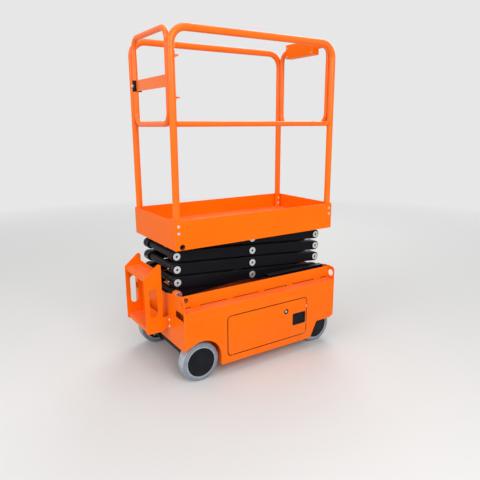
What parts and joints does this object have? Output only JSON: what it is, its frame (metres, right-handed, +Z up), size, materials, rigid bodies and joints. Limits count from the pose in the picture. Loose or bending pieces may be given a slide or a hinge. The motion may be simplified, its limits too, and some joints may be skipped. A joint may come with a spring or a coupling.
{
  "type": "compact scissor lift",
  "caption": "Compact self-propelled scissor lift, stowed: wheeled chassis with side doors and rear ladder, stacked scissor arms, and a railed platform with a gate and control box.",
  "frame": {"origin": "on the floor, under the middle of the whole machine's box", "axes": "+X forward (steered wheels), +Y to the machine's left, +Z up"},
  "size_m": [1.3114, 0.76, 2.041],
  "materials": {
    "orange_paint": "gloss",
    "black_paint": "satin",
    "zinc": "plated",
    "chrome_rod": "polished",
    "grey_tyre": "matt",
    "black_plastic": "textured",
    "black_cap": "satin"
  },
  "bodies": {
    "chassis": {"chassis_base": "orange_paint", "axle_webs": "orange_paint", "deck_plate": "orange_paint", "rear_plate": "orange_paint", "front_plate": "orange_paint", "side_panel_right": "orange_paint", "side_panel_left": "orange_paint", "well_walls": "orange_paint", "slide_tracks": "black_paint", "ladder": "orange_paint", "rear_axle": "black_paint", "front_axle": "black_paint", "battery_pack": "black_plastic", "pump_unit": "black_paint", "base_pins": "zinc"},
    "right_door": {"door_right": "orange_paint", "door_fittings_right": "black_plastic"},
    "left_door": {"door_left": "orange_paint", "door_fittings_left": "black_plastic"},
    "rear_right_wheel": {"tyre_rear_right": "grey_tyre", "hub_rear_right": "black_cap"},
    "rear_left_wheel": {"tyre_rear_left": "grey_tyre", "hub_rear_left": "black_cap"},
    "right_knuckle": {"knuckle_right": "black_paint"},
    "left_knuckle": {"knuckle_left": "black_paint"},
    "tie_rod": {"tie_rod": "zinc"},
    "front_right_wheel": {"tyre_front_right": "grey_tyre", "hub_front_right": "black_cap"},
    "front_left_wheel": {"tyre_front_left": "grey_tyre", "hub_front_left": "black_cap"},
    "lift_barrel": {"cylinder_barrel": "black_paint"},
    "lift_rod": {"cylinder_rod": "chrome_rod"},
    "platform": {"platform_tray": "orange_paint", "floor_sheet": "orange_paint", "platform_tracks": "black_paint", "side_rail_right": "orange_paint", "side_rail_left": "orange_paint", "front_rail": "orange_paint", "control_box": "orange_paint", "control_panel": "black_plastic"},
    "gate": {"gate": "orange_paint", "gate_latch": "black_plastic"},
    "scissor_1_inner": {"inner_arms_1": "black_paint", "top_rollers": "zinc"},
    "scissor_1_outer": {"outer_arms_1": "black_paint", "pins_1": "zinc"},
    "scissor_2_inner": {"inner_arms_2": "black_paint"},
    "scissor_2_outer": {"outer_arms_2": "black_paint", "pins_2": "zinc"},
    "scissor_3_inner": {"inner_arms_3": "black_paint"},
    "scissor_3_outer": {"outer_arms_3": "black_paint", "pins_3": "zinc"},
    "scissor_4_inner": {"inner_arms_4": "black_paint"},
    "scissor_4_outer": {"outer_arms_4": "black_paint", "pins_4": "zinc"}
  },
  "joints": [
    {"name": "lift", "type": "hinge", "parent": "chassis", "child": "scissor_4_inner", "pos_m": [-0.47125, 0, 0.512], "axis": [0, -1, 0], "range_deg": [0, 47]},
    {"name": "centre_pivot_4", "type": "hinge", "parent": "scissor_4_inner", "child": "scissor_4_outer", "pos_m": [0.06025, 0, 0.552], "axis": [0, -1, 0], "range_deg": [-94, 0]},
    {"name": "front_pivot_3", "type": "hinge", "parent": "scissor_4_inner", "child": "scissor_3_outer", "pos_m": [0.59175, 0, 0.592], "axis": [0, -1, 0], "range_deg": [-94, 0]},
    {"name": "centre_pivot_3", "type": "hinge", "parent": "scissor_3_outer", "child": "scissor_3_inner", "pos_m": [0.06025, 0, 0.632], "axis": [0, -1, 0], "range_deg": [0, 94]},
    {"name": "rear_pivot_2", "type": "hinge", "parent": "scissor_3_outer", "child": "scissor_2_inner", "pos_m": [-0.47125, 0, 0.672], "axis": [0, -1, 0], "range_deg": [0, 94]},
    {"name": "centre_pivot_2", "type": "hinge", "parent": "scissor_2_inner", "child": "scissor_2_outer", "pos_m": [0.06025, 0, 0.712], "axis": [0, -1, 0], "range_deg": [-94, 0]},
    {"name": "front_pivot_1", "type": "hinge", "parent": "scissor_2_inner", "child": "scissor_1_outer", "pos_m": [0.59175, 0, 0.752], "axis": [0, -1, 0], "range_deg": [-94, 0]},
    {"name": "centre_pivot_1", "type": "hinge", "parent": "scissor_1_outer", "child": "scissor_1_inner", "pos_m": [0.06025, 0, 0.792], "axis": [0, -1, 0], "range_deg": [0, 94]},
    {"name": "platform_pivot", "type": "hinge", "parent": "scissor_1_outer", "child": "platform", "pos_m": [-0.47125, 0, 0.832], "axis": [0, -1, 0], "range_deg": [0, 47]},
    {"name": "cylinder_foot", "type": "hinge", "parent": "scissor_4_inner", "child": "lift_barrel", "pos_m": [-0.39147, 0, 0.518], "axis": [0, -1, 0], "range_deg": [0, 13.58]},
    {"name": "cylinder_stroke", "type": "slide", "parent": "lift_barrel", "child": "lift_rod", "axis": [0.9866, 0, 0.1632], "range_m": [0, 0.7255]},
    {"name": "steer", "type": "hinge", "parent": "chassis", "child": "right_knuckle", "pos_m": [0.53525, -0.205, 0.12], "axis": [0, 0, 1], "range_deg": [-35, 35]},
    {"name": "steer_left", "type": "hinge", "parent": "chassis", "child": "left_knuckle", "pos_m": [0.53525, 0.205, 0.12], "axis": [0, 0, 1], "range_deg": [-35, 35]},
    {"name": "tie_rod_pivot", "type": "hinge", "parent": "right_knuckle", "child": "tie_rod", "pos_m": [0.44525, -0.205, 0.12], "axis": [0, 0, 1], "range_deg": [-35, 35]},
    {"name": "wheel_rear_right", "type": "hinge", "parent": "chassis", "child": "rear_right_wheel", "pos_m": [-0.39975, -0.317, 0.12], "axis": [0, 1, 0], "continuous": true},
    {"name": "wheel_front_right", "type": "hinge", "parent": "right_knuckle", "child": "front_right_wheel", "pos_m": [0.53525, -0.275, 0.12], "axis": [0, 1, 0], "continuous": true},
    {"name": "door_right_hinge", "type": "hinge", "parent": "chassis", "child": "right_door", "pos_m": [-0.19075, -0.371, 0.2505], "axis": [0, 0, -1], "range_deg": [0, 110]},
    {"name": "wheel_rear_left", "type": "hinge", "parent": "chassis", "child": "rear_left_wheel", "pos_m": [-0.39975, 0.317, 0.12], "axis": [0, 1, 0], "continuous": true},
    {"name": "wheel_front_left", "type": "hinge", "parent": "left_knuckle", "child": "front_left_wheel", "pos_m": [0.53525, 0.275, 0.12], "axis": [0, 1, 0], "continuous": true},
    {"name": "door_left_hinge", "type": "hinge", "parent": "chassis", "child": "left_door", "pos_m": [-0.19075, 0.371, 0.2505], "axis": [0, 0, 1], "range_deg": [0, 110]},
    {"name": "gate_hinge", "type": "hinge", "parent": "platform", "child": "gate", "pos_m": [-0.46125, -0.246, 1.64], "axis": [0, 0, -1], "range_deg": [0, 90]}
  ],
  "couplings": [
    {"joint": "centre_pivot_4", "follows": "lift", "ratio": -2},
    {"joint": "front_pivot_3", "follows": "lift", "ratio": -2},
    {"joint": "centre_pivot_3", "follows": "lift", "ratio": 2},
    {"joint": "rear_pivot_2", "follows": "lift", "ratio": 2},
    {"joint": "centre_pivot_2", "follows": "lift", "ratio": -2},
    {"joint": "front_pivot_1", "follows": "lift", "ratio": -2},
    {"joint": "centre_pivot_1", "follows": "lift", "ratio": 2},
    {"joint": "platform_pivot", "follows": "lift", "ratio": 1},
    {"joint": "cylinder_foot", "follows": "lift", "ratio": 0.28899},
    {"joint": "cylinder_stroke", "follows": "lift", "m_per_rad": 0.88418},
    {"joint": "steer_left", "follows": "steer", "ratio": 1},
    {"joint": "tie_rod_pivot", "follows": "steer", "ratio": -1}
  ]
}
